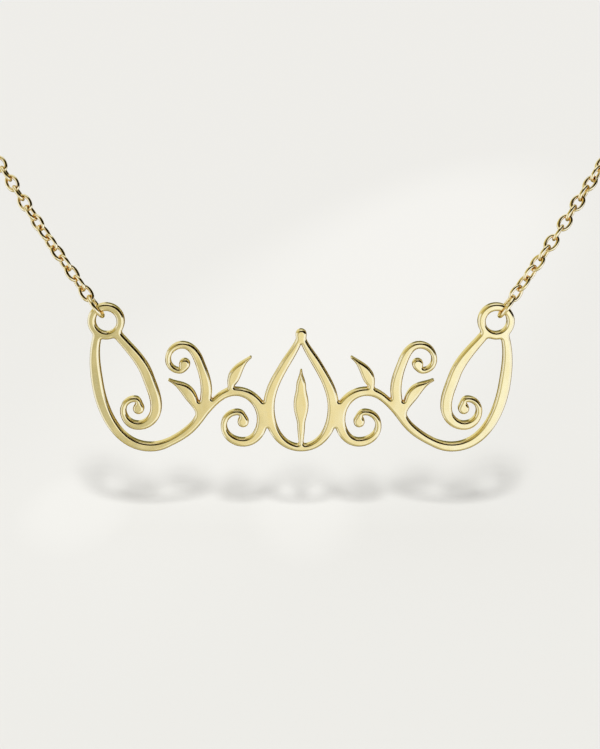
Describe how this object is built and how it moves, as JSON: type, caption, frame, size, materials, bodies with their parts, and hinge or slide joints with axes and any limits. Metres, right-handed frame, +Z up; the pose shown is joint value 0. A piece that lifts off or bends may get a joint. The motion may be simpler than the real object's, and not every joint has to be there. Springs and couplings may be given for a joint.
{
  "type": "nameplate necklace",
  "caption": "Gold-coloured necklace with a flat cut-out scroll plate hung by jump rings between the ends of a fine cable chain that closes behind the neck.",
  "frame": {"origin": "middle of the clasp, where the necklace rests on the nape of the neck", "axes": "+Z up, +X to the right seen from the front (the wearer's left), and -Y towards the front, where the plate hangs"},
  "size_m": [0.1212, 0.1172, 0.1103],
  "materials": {
    "plate_gold": "mirror-polished pale yellow gold plating with fine buffing lines",
    "chain_gold": "bright pale yellow gold plating on drawn wire"
  },
  "bodies": {
    "necklace": {"chain_left": "chain_gold", "chain_right": "chain_gold", "jump_ring_left": "chain_gold", "jump_ring_right": "chain_gold", "clasp": "chain_gold", "end_ring": "chain_gold"},
    "nameplate": {"nameplate": "plate_gold"}
  },
  "joints": [
    {"name": "nameplate_swing", "type": "hinge", "parent": "necklace", "child": "nameplate", "pos_m": [0, -0.114, -0.09368], "axis": [1, 0, 0], "range_deg": [-40, 40]}
  ]
}
